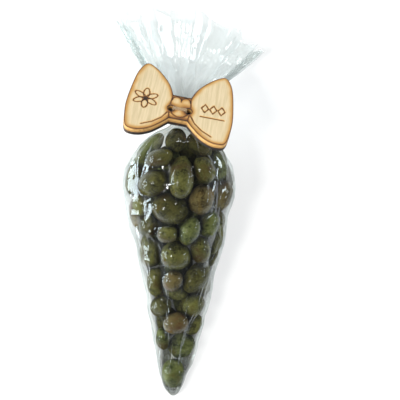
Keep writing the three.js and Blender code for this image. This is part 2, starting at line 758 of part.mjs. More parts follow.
function named(name, geometry, color, roughness, extra = {}) {
  const material = new THREE.MeshStandardMaterial({ color, roughness, metalness: 0, ...extra });
  const mesh = new THREE.Mesh(geometry, material);
  mesh.name = name;
  return mesh;
}

function assemble() {
  const bow = bowGeometry();
  const place = bowPlacement(bow);
  const clear = { transparent: true, opacity: 0.3 };
  const tag = named("bow_tag", bow, 0xdcb878, 0.65);
  tag.position.copy(place.position);
  tag.quaternion.copy(place.quaternion);
  const tie = named("twist_tie", tieGeometry(place), 0xd8cfc0, 0.25, clear);

  const part = new THREE.Group();
  const packed = packedNuts();
  const random = randomFrom(PACKING_SEED + 1);
  part.add(named("cone_bag", bagGeometry(place, packed), 0xeef4f2, 0.12, clear), tag, tie);
  part.add(...packed.map((nut, k) => nutMesh(nut, k + 1, random)));

  // The origin is the middle of the footprint, on the table
  part.updateMatrixWorld(true);
  const box = new THREE.Box3().setFromObject(part, true);
  part.position.set(-(box.min.x + box.max.x) / 2, -(box.min.y + box.max.y) / 2, -box.min.z);
  part.updateMatrixWorld(true);
  return part;
}

export default assemble();
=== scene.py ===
"""Looks for a clear film cone bag of powder-coated nuts, tied through a laser-cut plywood bow.

Sizes are written in millimetres and turned into metres where a mesh is made. The film is shrunk over the
nuts on a grid round the bag's axis, so it touches them and bridges the hollows between them.
"""
import math

import bmesh
import bpy
import numpy as np
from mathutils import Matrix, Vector, bvhtree, geometry, noise


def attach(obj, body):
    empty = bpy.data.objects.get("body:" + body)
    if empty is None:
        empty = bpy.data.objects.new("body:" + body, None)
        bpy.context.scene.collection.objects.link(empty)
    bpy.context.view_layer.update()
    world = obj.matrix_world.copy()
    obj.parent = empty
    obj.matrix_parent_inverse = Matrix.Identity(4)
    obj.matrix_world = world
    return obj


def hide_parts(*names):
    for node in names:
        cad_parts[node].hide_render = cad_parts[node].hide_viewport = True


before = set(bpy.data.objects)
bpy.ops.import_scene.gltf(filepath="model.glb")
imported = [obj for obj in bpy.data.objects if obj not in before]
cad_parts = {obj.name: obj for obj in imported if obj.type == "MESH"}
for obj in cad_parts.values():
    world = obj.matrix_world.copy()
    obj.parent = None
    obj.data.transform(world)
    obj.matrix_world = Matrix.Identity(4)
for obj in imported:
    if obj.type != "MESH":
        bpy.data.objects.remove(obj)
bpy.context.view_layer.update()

MM = 0.001
SEED = 7

# Nuts, as shares of their half sizes
SQUARENESS = 0.92  # below 1, a nut is fuller than an ellipsoid
COAT_LUMPS = ((1.3, 0.09), (3.6, 0.035), (10, 0.012))  # how fine and how high
LARGEST_GIRDLE = 0.05
GIRDLE_WIDTH = 0.16
DENT_START = 0.55
DEEPEST_DENT = 0.35
USUAL_SWELL = 0.015  # nine tenths of a coat lie below this
LARGEST_SWELL = 0.04

# Film over the body
AROUND = 280
ALONG = 250
ROW_CROWDING = 1.25  # above 1, the film's rows crowd towards the tie
LAST_ROW = 0.9995  # of the way to the tie
RAY_START = 120  # from the bag's axis, well outside the film
WIDEST_FILM = 60
NEAREST_AXIS = 0.4
UNROLLED_RADIUS = 26  # of the bag, where its folds are laid out flat
RING_GAP = 0.6  # between the rings of the solid film's points, at least
FILM_CLEARANCE = 0.35  # between a nut and the film's middle
FILM_INSET = 0.15  # of the film inside the solid's outer face, away from its two flanks
FILM_SAG = 1.0  # how much farther in it may be drawn, before its folds
CONTACT_REACH = 1.1  # nearer than this to a nut, the powder dulls the film
FLANK_LOOSE = 3.2  # how far the film stands off at the bag's two edges
FLANK_SHARPNESS = 6  # the larger, the narrower the loose edges
FLANK_ENDS = 22  # the flanks fade away this far from the tip and from the tie
SHRINK_ROUNDS = 160
SHRINK_PULL = 0.05  # each round
LARGE_FACETS = 70
SMALL_FACETS = 240
FACET_SLOPE = 0.15
SMALL_FACET_SHARE = 0.7
FOLD_ROOM = 14  # from the axis, where folds reach their full depth
DEEPEST_FOLD = 2.8  # below the solid's outer face
CREASES = 130
CREASE_DEPTH = 0.5
CREASE_HALF_LENGTHS = (9, 32)
CREASE_WIDTHS = (0.45, 0.9)
CREASE_FOOT = 2.2  # how far a crease's sides reach, in its widths
SHOULDER_PLEATS = 19
SHOULDER_PLEAT_DEPTH = 1.5
SHOULDER_PLEAT_REACH = 42  # from the tie towards the tip
DUST_AND_SHADE_HEIGHT = 8  # dark olive is painted inside the film up to here: powder come off the nuts, and painted shade in the gaps between them
DUST_AND_SHADE_BELOW = 0.1  # and on its underside, from this share of its depth
DUST_AND_SHADE_FROM_NECK = 30
DUST_AND_SHADE_DENSITY = 0.92
DUST_AND_SHADE_FADE = 2.2
GREY_NECK = 0.3  # how grey the tight folds by the tie are painted, as painted shade
GREY_REACH = 26
# painted shade: within this reach of another nut's coat, a nut's colour is darkened
PAINTED_SHADE_REACH = 4.2  # from another nut's coat

# Film's shine
HEAD_ON_MIRROR = 0.04
SHINE_POWER = 3
TINT_POWER = 1.7
CONTACT_DULLING = 0.8  # how much of the mirror is lost where the film presses on powder

# Neck and ruffle, close to the solid's sizes
NECK_ACROSS = 4.1
NECK_UP = 3.5
NECK_HEIGHT = 43
NECK_FROM_TIE = 1.7
NECK_PLEAT_DEPTH = 0.9
PLEATS = 16
RIM_PLEAT_DEPTH = 3.4
RIM_ZIGZAG = 1.6
RUFFLE_LENGTH = 71.5
RUFFLE_SPREAD = math.radians(75)
RUFFLE_LEAN = math.radians(8)
RUFFLE_DEPTH = 26
RUFFLE_DROOP = 20
RUFFLE_SLANT = 4
RUFFLE_RISE = 0.35
LAYER_GAP = 1.2
BOW_GAP = 0.3
WING_REACH = 38.5
RISE_BEND = 7  # how softly the film turns up past the wings

# Finer folds of the ruffle
RUFFLE_ROWS = 120
FINE_PLEATS = 41
FINER_PLEATS = 70
FINE_PLEAT_DEPTH = 0.55
CRUMPLE_SLOPE = 0.25
RUFFLE_UNROLLED_RADIUS = 22
LOWEST_FILM = 0.4  # above the floor

# Plywood bow
PLY_GRID = 0.55
PLY_BEVEL = 0.35
SCORCH_REACH = 2.6
CHAR_REACH = 0.45
CUT_TOAST_REACH = 1.2
KNOT_TOAST_REACH = 7.5
GROOVE = 0.34  # half a burnt line's width
GROOVE_DEPTH = 0.3
FACE_TOLERANCE = 0.05
HOLE_SEARCH = 8  # from the bow's middle line, where its holes lie
SHARP_TURN = 0.75  # cosine, below which an outline has a corner

# Plain pattern on the bow, from the line through its holes
ROSETTE = (-22.5, 4.5)
PETALS = 6
PETAL_RING = 4.2
PETAL_SIZE = (4.0, 1.9)
ROSETTE_EYE = 1.3
LOZENGES = (15.5, 20.8, 26.1)
LOZENGE_HEIGHT = 5
LOZENGE_HALF = (2.3, 3.4)
BAR = ((13.2, -2.2), (28.4, -2.2))

# White floor: how much of it is light of its own, and how much shows shadows
FLOOR_GLOW = 0.64
FLOOR_SHADOW = 0.30

# Camera, in the photograph's frame
CAMERA_LENS = 80.9
CAMERA_DISTANCE = 600
CAMERA_TILT = math.radians(3.7)
CAMERA_TARGET = (7.6, 1, 15)


def node_points(name):
    """A CAD node's vertices in millimetres."""
    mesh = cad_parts[name].data
    points = np.zeros(len(mesh.vertices) * 3)
    mesh.vertices.foreach_get("co", points)
    return points.reshape(-1, 3) / MM


def node_tree(name):
    """A CAD node as a tree for casting rays, in millimetres."""
    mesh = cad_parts[name].data
    faces = [tuple(face.vertices) for face in mesh.polygons]
    return bvhtree.BVHTree.FromPolygons([Vector(p) for p in node_points(name)], faces)


def make_piece(name, points, faces, material, smooth=True):
    """A mesh object from points in millimetres, riding on the part's one body."""
    mesh = bpy.data.meshes.new(name)
    mesh.from_pydata([tuple(p) for p in np.asarray(points) * MM], [], [tuple(f) for f in faces])
    mesh.validate()
    mesh.polygons.foreach_set("use_smooth", [smooth] * len(mesh.polygons))
    mesh.materials.append(material)
    piece = bpy.data.objects.new(name, mesh)
    bpy.context.scene.collection.objects.link(piece)
    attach(piece, "root")
    return piece


def paint(piece, name, values):
    """Stores one number for each vertex, for the material to read."""
    layer = piece.data.attributes.new(name, "FLOAT", "POINT")
    layer.data.foreach_set("value", np.asarray(values, np.float32))


# Materials

def new_material(name):
    material = bpy.data.materials.new(name)
    material.use_nodes = True
    tree = material.node_tree
    tree.nodes.clear()
    output = tree.nodes.new("ShaderNodeOutputMaterial")
    return material, tree, output


def stored(tree, name):
    """A node that reads what paint() stored under a name."""
    node = tree.nodes.new("ShaderNodeAttribute")
    node.attribute_name = name
    return node


def add(tree, kind, **values):
    """A node with its sockets set by name."""
    node = tree.nodes.new(kind)
    for key, value in values.items():
        node.inputs[key.replace("_", " ")].default_value = value
    return node


def noise_node(tree, coordinates, scale, detail=3.0, roughness=0.55):
    node = add(tree, "ShaderNodeTexNoise", Scale=scale, Detail=detail, Roughness=roughness)
    tree.links.new(coordinates, node.inputs["Vector"])
    return node


def ramp(tree, value, stops):
    """A colour ramp over (place, colour) stops."""
    node = tree.nodes.new("ShaderNodeValToRGB")
    elements = node.color_ramp.elements
    while len(elements) < len(stops):
        elements.new(0.5)
    for element, (place, colour) in zip(elements, stops):
        element.position = place
        element.color = (*colour, 1)
    tree.links.new(value, node.inputs["Fac"])
    return node


def mix_colour(tree, factor, a, b):
    node = tree.nodes.new("ShaderNodeMix")
    node.data_type = "RGBA"
    tree.links.new(factor, node.inputs[0])
    for source, socket in ((a, node.inputs[6]), (b, node.inputs[7])):
        if isinstance(source, tuple):
            socket.default_value = (*source, 1)
        else:
            tree.links.new(source, socket)
    return node.outputs[2]


def mix_shader(tree, factor, a, b):
    node = tree.nodes.new("ShaderNodeMixShader")
    tree.links.new(factor, node.inputs[0])
    tree.links.new(a.outputs[0], node.inputs[1])
    tree.links.new(b.outputs[0], node.inputs[2])
    return node


def math_node(tree, operation, value, *numbers):
    node = tree.nodes.new("ShaderNodeMath")
    node.operation = operation
    tree.links.new(value, node.inputs[0])
    for socket, number in zip(list(node.inputs)[1:], numbers):
        socket.default_value = number
    return node


def bump(tree, height, strength, distance):
    node = add(tree, "ShaderNodeBump", Strength=strength, Distance=distance)
    tree.links.new(height, node.inputs["Height"])
    return node.outputs["Normal"]


def nut_material(name, dark, light, brown):
    """A powder coat: mottled dark and light, browner where it has rubbed thin, with painted shade near
    other nuts.
    """
    material, tree, output = new_material(name)
    place = tree.nodes.new("ShaderNodeTexCoord").outputs["Object"]
    patches = noise_node(tree, place, 170, 5, 0.7)
    powder = noise_node(tree, place, 900, 5, 0.7)
    rubbed = noise_node(tree, place, 85, 4, 0.6)
    coat = ramp(tree, patches.outputs["Fac"], [(0.38, dark), (0.62, light)])
    speckle = ramp(tree, powder.outputs["Fac"], [(0.46, (0, 0, 0)), (0.66, (0.8, 0.8, 0.8))])
    dusty = mix_colour(tree, speckle.outputs["Color"], coat.outputs["Color"], light)
    where = ramp(tree, rubbed.outputs["Fac"], [(0.52, (0, 0, 0)), (0.66, (1, 1, 1))])
    coated = mix_colour(tree, where.outputs["Color"], dusty, brown)
    # painted shade: near other nuts the coat goes towards a quarter of its dark colour
    painted_shade_amount = stored(tree, "painted_shade_amount")
    shade = tuple(0.25 * part for part in dark)
    colour = mix_colour(tree, painted_shade_amount.outputs["Fac"], coated, shade)
    shader = add(tree, "ShaderNodeBsdfPrincipled", Roughness=0.85)
    shader.inputs["Specular IOR Level"].default_value = 0.12
    tree.links.new(colour, shader.inputs["Base Color"])
    tree.links.new(bump(tree, powder.outputs["Fac"], 0.5, 0.0006), shader.inputs["Normal"])
    tree.links.new(shader.outputs["BSDF"], output.inputs["Surface"])
    return material


def film_material(name, tint, edge_tint, haze, edge_haze, shine, fine):
    """Thin clear film: it mirrors by angle, lets the rest through, scatters a little white, and carries
    powder and painted shade in dark olive where stored.
    """
    material, tree, output = new_material(name)
    place = tree.nodes.new("ShaderNodeTexCoord").outputs["Object"]
    stretch = add(tree, "ShaderNodeMapping", Scale=(1, 0.35, 1))
    tree.links.new(place, stretch.inputs["Vector"])
    wrinkle = noise_node(tree, stretch.outputs["Vector"], 150, 2, 0.5)
    normal = bump(tree, wrinkle.outputs["Fac"], fine, 0.0006)
    dust_and_shade = stored(tree, "dust_and_shade")
    clear = tree.nodes.new("ShaderNodeBsdfTransparent")
    gloss = add(tree, "ShaderNodeBsdfGlossy", Color=(0.96, 1, 1, 1), Roughness=0.1)
    white = add(tree, "ShaderNodeBsdfDiffuse", Color=(0.9, 0.93, 0.93, 1))
    # powder and painted shade: the dark olive laid over the film where the stored value says
    powder = add(tree, "ShaderNodeBsdfDiffuse", Color=(0.045, 0.045, 0.016, 1))
    graze = add(tree, "ShaderNodeLayerWeight", Blend=0.5)
    for node in (gloss, white, graze):
        tree.links.new(normal, node.inputs["Normal"])
    steep = math_node(tree, "POWER", graze.outputs["Facing"], SHINE_POWER)
    slant = math_node(tree, "POWER", graze.outputs["Facing"], TINT_POWER)
    contact = stored(tree, "contact")
    free = math_node(tree, "MULTIPLY_ADD", contact.outputs["Fac"], -CONTACT_DULLING, 1)
    bare = math_node(tree, "MULTIPLY_ADD", steep.outputs[0], shine, HEAD_ON_MIRROR)
    mirror = math_node(tree, "MULTIPLY", bare.outputs[0])
    tree.links.new(free.outputs[0], mirror.inputs[1])
    milky = math_node(tree, "MULTIPLY_ADD", slant.outputs[0], edge_haze - haze, haze)
    tree.links.new(mix_colour(tree, slant.outputs[0], tint, edge_tint), clear.inputs["Color"])
    scatter = mix_shader(tree, milky.outputs[0], clear, white)
    dusted_and_shaded = mix_shader(tree, dust_and_shade.outputs["Fac"], scatter, powder)
    surface = mix_shader(tree, mirror.outputs[0], dusted_and_shaded, gloss)
    tree.links.new(surface.outputs[0], output.inputs["Surface"])
    return material


def ply_face_material():
    """Pale birch, toasted near its edges and grooves by the stored scorch."""
    material, tree, output = new_material("ply_face")
    place = stored(tree, "flat")
    scorch = stored(tree, "scorch")
    stretch = add(tree, "ShaderNodeMapping", Scale=(900, 45, 60))
    tree.links.new(place.outputs["Vector"], stretch.inputs["Vector"])
    grain = noise_node(tree, stretch.outputs["Vector"], 1, 4, 0.6)
    birch = ramp(tree, grain.outputs["Fac"], [(0.3, (0.57, 0.44, 0.25)), (0.7, (0.75, 0.60, 0.38))])
    burn = ramp(tree, scorch.outputs["Fac"], [
        (0.1, (0.66, 0.44, 0.18)), (0.35, (0.52, 0.27, 0.07)),
        (0.6, (0.24, 0.09, 0.02)), (0.9, (0.02, 0.01, 0.005)),
    ])
    toasted = ramp(tree, scorch.outputs["Fac"], [(0.02, (0, 0, 0)), (0.3, (1, 1, 1))])
    colour = mix_colour(tree, toasted.outputs["Color"], birch.outputs["Color"], burn.outputs["Color"])
    shader = add(tree, "ShaderNodeBsdfPrincipled", Roughness=0.55)
    tree.links.new(colour, shader.inputs["Base Color"])
    tree.links.new(bump(tree, grain.outputs["Fac"], 0.25, 0.0003), shader.inputs["Normal"])
    tree.links.new(shader.outputs["BSDF"], output.inputs["Surface"])
    return material


def ply_edge_material():
    """The cut edge: plies in turn, burnt dark brown, and near black over its lower part."""
    material, tree, output = new_material("ply_edge")
    place = stored(tree, "depth")
    # from the bottom (0) to the face (1): near black over the lower part, then the plies
    plies = ramp(tree, place.outputs["Fac"], [
        (0.0, (0.008, 0.005, 0.003)), (0.38, (0.016, 0.009, 0.005)), (0.46, (0.30, 0.14, 0.035)),
        (0.54, (0.56, 0.31, 0.09)), (0.60, (0.20, 0.08, 0.02)), (0.67, (0.58, 0.34, 0.11)),
        (0.90, (0.50, 0.27, 0.08)), (1.0, (0.12, 0.05, 0.015)),
    ])
    spots = noise_node(tree, tree.nodes.new("ShaderNodeTexCoord").outputs["Object"], 300, 3)
    charred = ramp(tree, spots.outputs["Fac"], [(0.5, (0, 0, 0)), (0.75, (0.8, 0.8, 0.8))])
    colour = mix_colour(tree, charred.outputs["Color"], plies.outputs["Color"], (0.10, 0.04, 0.012))
    shader = add(tree, "ShaderNodeBsdfPrincipled", Roughness=0.7)
    tree.links.new(colour, shader.inputs["Base Color"])
    tree.links.new(shader.outputs["BSDF"], output.inputs["Surface"])
    return material


def tie_material():
    """A clear flat band with a frosted, slightly warm surface."""
    material, tree, output = new_material("tie_band")
    place = tree.nodes.new("ShaderNodeTexCoord").outputs["Object"]
    ribs = noise_node(tree, place, 700, 2)
    shader = add(tree, "ShaderNodeBsdfPrincipled", Roughness=0.2)
    shader.inputs["Base Color"].default_value = (0.50, 0.36, 0.22, 1)
    shader.inputs["Alpha"].default_value = 0.5
    tree.links.new(bump(tree, ribs.outputs["Fac"], 0.3, 0.0003), shader.inputs["Normal"])
    tree.links.new(shader.outputs["BSDF"], output.inputs["Surface"])
    return material


# Nuts

def read_nut(name):
    """A nut's middle, its axes from long to thin, and its half sizes."""
    points = np.unique(node_points(name).round(4), axis=0)
    middle = points.mean(0)
    axes = np.linalg.eigh(np.cov((points - middle).T))[1][:, ::-1].T
    if np.linalg.det(axes) < 0:
        axes[2] *= -1
    along = (points - middle) @ axes.T
    low, high = along.min(0), along.max(0)
    middle = middle + ((low + high) / 2) @ axes
    return {"name": name, "middle": middle, "axes": axes, "half": (high - low) / 2}


def ball(levels):
    """Points and faces of a finely divided unit ball."""
    mesh = bmesh.new()
    bmesh.ops.create_icosphere(mesh, subdivisions=levels, radius=1)
    points = np.array([tuple(v.co) for v in mesh.verts])
    faces = [tuple(v.index for v in f.verts) for f in mesh.faces]
    mesh.free()
    return points, faces


def rough_nut(nut, template, random):
    """The nut's own lumpy form: a flattened almond with a soft girdle and an uneven coat."""
    points = np.sign(template) * np.abs(template) ** SQUARENESS
    shift = random.uniform(-50, 50, 3)
    girdle = random.uniform(0.0, LARGEST_GIRDLE)
    dent = random.normal(size=3)
    dent /= np.linalg.norm(dent)
    swell = np.empty(len(points))
    for k, p in enumerate(template):
        place = Vector(p) + Vector(shift)
        swell[k] = sum(height * noise.noise(place * fine) for fine, height in COAT_LUMPS)
    swell += girdle * np.exp(-(template[:, 2] / GIRDLE_WIDTH) ** 2)
    hollow = np.clip(template @ dent - DENT_START, 0, None)
    swell -= random.uniform(0.0, DEEPEST_DENT) * hollow ** 2
    swell = np.clip(swell - np.percentile(swell, 90) + USUAL_SWELL, None, LARGEST_SWELL)
    points = points * (1 + swell)[:, None]
    return (points * nut["half"]) @ nut["axes"] + nut["middle"]


def painted_shade_near_nuts(points, own, nuts):
    """From 0 in the open to 1 against another nut: how much painted shade darkens the coat there."""
    nearest = np.full(len(points), 1e9)
    for other in nuts:
        if other is own or np.linalg.norm(other["middle"] - own["middle"]) > 2 * own["half"][0] + 20:
            continue
        scaled = np.linalg.norm((points - other["middle"]) @ (other["axes"].T / other["half"]), axis=1)
        nearest = np.minimum(nearest, (scaled - 1) * np.mean(other["half"]))
    return np.clip(1 - nearest / PAINTED_SHADE_REACH, 0, 1)


def nut_pieces(nuts):
    random = np.random.default_rng(SEED)
    template, faces = ball(4)
    coats = [
        nut_material("coat_olive", (0.010, 0.009, 0.001), (0.100, 0.096, 0.024), (0.036, 0.021, 0.003)),
        nut_material("coat_moss", (0.010, 0.013, 0.002), (0.100, 0.110, 0.032), (0.038, 0.027, 0.003)),
        nut_material("coat_dark", (0.007, 0.006, 0.001), (0.064, 0.058, 0.014), (0.026, 0.015, 0.002)),
        nut_material("coat_brown", (0.018, 0.011, 0.002), (0.104, 0.078, 0.026), (0.052, 0.022, 0.006)),
    ]
    for nut in nuts:
        coat = coats[random.choice(4, p=[0.42, 0.28, 0.2, 0.1])]
        points = rough_nut(nut, template, random)
        piece = make_piece(nut["name"] + "_coat", points, faces, coat)
        paint(piece, "painted_shade_amount", painted_shade_near_nuts(points, nut, nuts))
        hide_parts(nut["name"])


# Film

def body_rings(points, centre):
    """The middles of the solid film's rings, from the tip to the tie's centre."""
    points = points[np.argsort(points[:, 1])]
    starts = np.flatnonzero(np.diff(points[:, 1]) > RING_GAP) + 1
    rings = []
    for ring in np.split(points, starts):
        if ring[-1, 1] < centre[1] - 2 * RING_GAP:
            rings.append((ring.min(0) + ring.max(0)) / 2)
    return np.array(rings + [centre])


def nut_reach(nuts, middles, ways):
    """For each ray from the axis, how far out the farthest nut on it ends."""
    reach = np.zeros(ways.shape[:2])
    for nut in nuts:
        shrink = nut["axes"].T / nut["half"]
        start = (middles - nut["middle"]) @ shrink
        way = ways @ shrink
        a = (way * way).sum(-1)
        b = (way * start).sum(-1)
        c = (start * start).sum(-1) - 1
        inside = b * b - a * c
        far = (-b + np.sqrt(np.clip(inside, 0, None))) / a
        reach = np.where((inside > 0) & (far > reach), far, reach)
    return reach


def spread(grid):
    """Each point's mean with its neighbours on a grid that closes round its second way."""
    up = np.vstack([grid[:1], grid[:-1]])
    down = np.vstack([grid[1:], grid[-1:]])
    return (up + down + np.roll(grid, 1, 1) + np.roll(grid, -1, 1)) / 4


def bridge(grid):
    """The grid with its hollows along the bag filled by straight stretches."""
    bridged = grid.copy()
    for step in (1, 2, 4, 8, 16, 8, 4, 2, 1):
        for _ in range(4):
            straight = (bridged[:-2 * step] + bridged[2 * step:]) / 2
            bridged[step:-step] = np.maximum(bridged[step:-step], straight)
    return bridged


def long_creases(across, along, count, random):
    """Sharp creases that run mostly along the bag, from 0 to about 1."""
    raised = np.zeros(across.shape)
    round_bag = across.max() * (1 + 1 / AROUND)
    for _ in range(count):
        x, y = random.uniform(0, round_bag), random.uniform(along.min(), along.max())
        lean = random.normal(0, 0.35)
        half = random.uniform(*CREASE_HALF_LENGTHS)
        wide = random.uniform(*CREASE_WIDTHS)
        dx = (across - x + round_bag / 2) % round_bag - round_bag / 2
        dy = along - y
        along_it = dx * math.sin(lean) + dy * math.cos(lean)
        off_it = dx * math.cos(lean) - dy * math.sin(lean)
        fade = np.clip(1 - (along_it / half) ** 2, 0, 1)
        raised = np.maximum(raised, fade * np.clip(1 - np.abs(off_it) / (wide * CREASE_FOOT), 0, 1))
    return raised


def facets(across, along, cells, random, squeeze):
    """Millimetres down the sides of many flat-sided peaks, stretched along where squeeze is small."""
    nearest = np.full(across.shape, 1e9)
    round_bag = across.max() * (1 + 1 / AROUND)
    for _ in range(cells):
        x, y = random.uniform(0, round_bag), random.uniform(along.min(), along.max())
        lean = random.normal(0, 0.3)
        dx = (across - x + round_bag / 2) % round_bag - round_bag / 2
        dy = along - y
        off_it = np.abs(dx * math.cos(lean) - dy * math.sin(lean))
        along_it = np.abs(dx * math.sin(lean) + dy * math.cos(lean))
        nearest = np.minimum(nearest, off_it + squeeze * along_it)
    return nearest


def body_film(nuts, centre):
    """The film from the tip to the tie, as rows of points round the bag, and where it presses on nuts."""
    random = np.random.default_rng(SEED + 1)
    neck_y = centre[1]
    rings = body_rings(node_points("cone_bag"), centre)
    tip = rings[0, 1]
    share = np.linspace(0, 1, ALONG)
    places = tip + (neck_y - tip) * (1 - (1 - share) ** ROW_CROWDING) * LAST_ROW
    middles = np.stack([np.interp(places, rings[:, 1], rings[:, k]) for k in range(3)], 1)
    turns = np.linspace(0, 2 * math.pi, AROUND, endpoint=False)
    ways = np.stack([np.cos(turns), np.zeros(AROUND), np.sin(turns)], 1)
    tree = node_tree("cone_bag")
    outer = np.zeros((ALONG, AROUND))
    for i, middle in enumerate(middles):
        for j, way in enumerate(ways):
            hit = tree.ray_cast(Vector(middle + RAY_START * way), Vector(-way))
            outer[i, j] = RAY_START - hit[3] if hit[0] is not None else 1.0
    outer = np.minimum(outer, WIDEST_FILM)
    all_ways = np.broadcast_to(ways, (ALONG, AROUND, 3))
    reach = nut_reach(nuts, middles[:, None, :], all_ways)
    ends = np.minimum(places - tip, neck_y - places) / FLANK_ENDS
    flank = np.abs(np.cos(turns))[None, :] ** FLANK_SHARPNESS * np.clip(ends, 0, 1)[:, None]
    loose = outer - FILM_INSET + flank * (bridge(outer) - outer + FLANK_LOOSE)
    taut = np.minimum(np.where(reach > 0, reach + FILM_CLEARANCE, 0), loose)
    lowest = np.maximum(taut, loose - FILM_SAG)
    film = loose.copy()
    for _ in range(SHRINK_ROUNDS):
        film = np.clip(spread(film) - SHRINK_PULL, lowest, loose)

    across = np.broadcast_to(turns * UNROLLED_RADIUS, film.shape)
    along = np.broadcast_to(places[:, None], film.shape)
    large = facets(across, along, LARGE_FACETS, random, squeeze=0.3)
    small = facets(across, along, SMALL_FACETS, random, squeeze=0.4)
    sharp = long_creases(across, along, CREASES, random)
    gather = np.clip((places - (neck_y - SHOULDER_PLEAT_REACH)) / SHOULDER_PLEAT_REACH, 0, 1)[:, None]
    room = np.clip(film / FOLD_ROOM, 0.15, 1)
    wander = 0.5 * np.sin(3 * turns + 1) + 0.3 * np.sin(7 * turns)
    pleats = np.abs(((SHOULDER_PLEATS * turns + wander * 2) / math.pi) % 2 - 1)
    folds = FACET_SLOPE * (large + SMALL_FACET_SHARE * small) + CREASE_DEPTH * (1 - sharp)
    film = film - room * folds
    film -= gather ** 1.5 * SHOULDER_PLEAT_DEPTH * (1 - pleats)[None, :] * np.clip(film / 8, 0.3, 1)
    deepest = np.maximum(np.maximum(taut, outer - DEEPEST_FOLD), NEAREST_AXIS)
    film = np.clip(film, deepest, loose)
    contact = np.clip(1 - (film - taut) / CONTACT_REACH, 0, 1) * (reach > 0)
    return middles[:, None, :] + film[:, :, None] * all_ways, contact


def triangle_wave(turns):
    """From 1 down to -1 and back, in each whole turn."""
    return 2 * np.abs(2 * (turns % 1) - 1) - 1


def soft_min(a, b, soft):
    overlap = np.clip(soft - np.abs(a - b), 0, None) / soft
    return np.minimum(a, b) - overlap * overlap * soft / 4


def bow_back(bow, x, y):
    """The height of the bow's back face over a place, rising again past the top of its wings."""
    normal, origin = bow["normal"], bow["origin"]
    clear = np.clip(y - origin[1] - WING_REACH, 0, None)
    past = np.where(clear < RISE_BEND, clear ** 2 / (2 * RISE_BEND), clear - RISE_BEND / 2)
    slope = (normal[0] * (x - origin[0]) + normal[1] * (y - past - origin[1])) / normal[2]
    return origin[2] - slope + RUFFLE_RISE * past


def ruffle_film(centre, bow):
    """The film above the tie: a flat fan of pleats, pressed under the bow."""
    random = np.random.default_rng(SEED + 2)
    turns = np.linspace(0, 2 * math.pi, AROUND, endpoint=False)
    shares = np.linspace(0, 1, RUFFLE_ROWS + 1)[1:, None]
    sway = RUFFLE_LEAN + RUFFLE_SPREAD / 2 * np.sin(math.pi / 2 * np.cos(turns))
    around = turns / (2 * math.pi)
    coarse = triangle_wave(PLEATS * around)
    wander = 0.11 * np.sin(2 * turns + 2) + 0.07 * np.sin(5 * turns + 1)
    fine = triangle_wave(FINE_PLEATS * around + 9 * wander)
    fine += 0.7 * triangle_wave(FINER_PLEATS * around)
    zigzag = triangle_wave(PLEATS * (around + 1 / (2 * math.pi * PLEATS)))
    jag = np.interp(turns, np.linspace(0, 2 * math.pi, 80), random.uniform(-0.6, 0.6, 80))
    far = shares * (RUFFLE_LENGTH - RUFFLE_SLANT * np.cos(turns) + RIM_ZIGZAG * zigzag + jag)
    depth = NECK_PLEAT_DEPTH + (RIM_PLEAT_DEPTH - NECK_PLEAT_DEPTH) * shares
    fold = depth * coarse
    flare = RUFFLE_DEPTH / 2 * shares ** 0.8
    x = centre[0] + (NECK_ACROSS + fold) * np.cos(turns) + far * np.sin(sway)
    y = centre[1] + far * np.cos(sway)
    z = centre[2] - RUFFLE_DROOP * shares + (NECK_UP + flare + fold) * np.sin(turns)
    pressed = LAYER_GAP * (1 - np.sin(turns)) + (depth - fold) * np.clip(np.sin(turns), 0, None)
    z = soft_min(z, bow_back(bow, x, y) - BOW_GAP - pressed, 1)
    across = np.broadcast_to(turns * RUFFLE_UNROLLED_RADIUS, x.shape)
    crumple = facets(across, far, 2 * LARGE_FACETS, random, squeeze=0.25)
    grown = np.clip(shares * 4, 0, 1)
    z = z - grown * (FINE_PLEAT_DEPTH * (1 + fine) / 2 + CRUMPLE_SLOPE * crumple)
    x = x + grown * CRUMPLE_SLOPE * (np.roll(crumple, 30, 1) - 2)
    return np.stack([x, y, np.maximum(z, LOWEST_FILM)], -1)


def film_faces(rows):
    """Faces between rows of AROUND points each, and a fan that closes the tip with one point more."""
    faces = []
    for row in range(rows - 1):
        for k in range(AROUND):
            a, b = row * AROUND + k, row * AROUND + (k + 1) % AROUND
            faces.append((a, a + AROUND, b + AROUND, b))
    tip = rows * AROUND
    return faces + [(tip, k, (k + 1) % AROUND) for k in range(AROUND)]


def film_dust_and_shade(points, body_rows, centre):
    """Fallen powder and painted shade on the film's underside and low parts, and painted shade as the
    grey of the tight folds by the tie.
    """
    clear_of_neck = points[:, 1] < centre[1] - DUST_AND_SHADE_FROM_NECK
    low = np.clip(1 - points[:, 2] / DUST_AND_SHADE_HEIGHT, 0, 1)
    gathered = np.clip(1 - np.abs(points[:, 1] - centre[1]) / GREY_REACH, 0, 1)
    under = np.zeros(len(points))
    turns = np.linspace(0, 2 * math.pi, AROUND, endpoint=False)
    under[:body_rows * AROUND] = np.tile(np.clip(-np.sin(turns) - DUST_AND_SHADE_BELOW, 0, 1), body_rows)
    # powder and painted shade: dark olive on the low parts and underside stands in for the shade between
    # the nuts
    fallen_dust_and_shade = DUST_AND_SHADE_DENSITY * clear_of_neck * np.clip(DUST_AND_SHADE_FADE * np.maximum(low, under), 0, 1)
    return np.maximum(fallen_dust_and_shade, GREY_NECK * gathered)


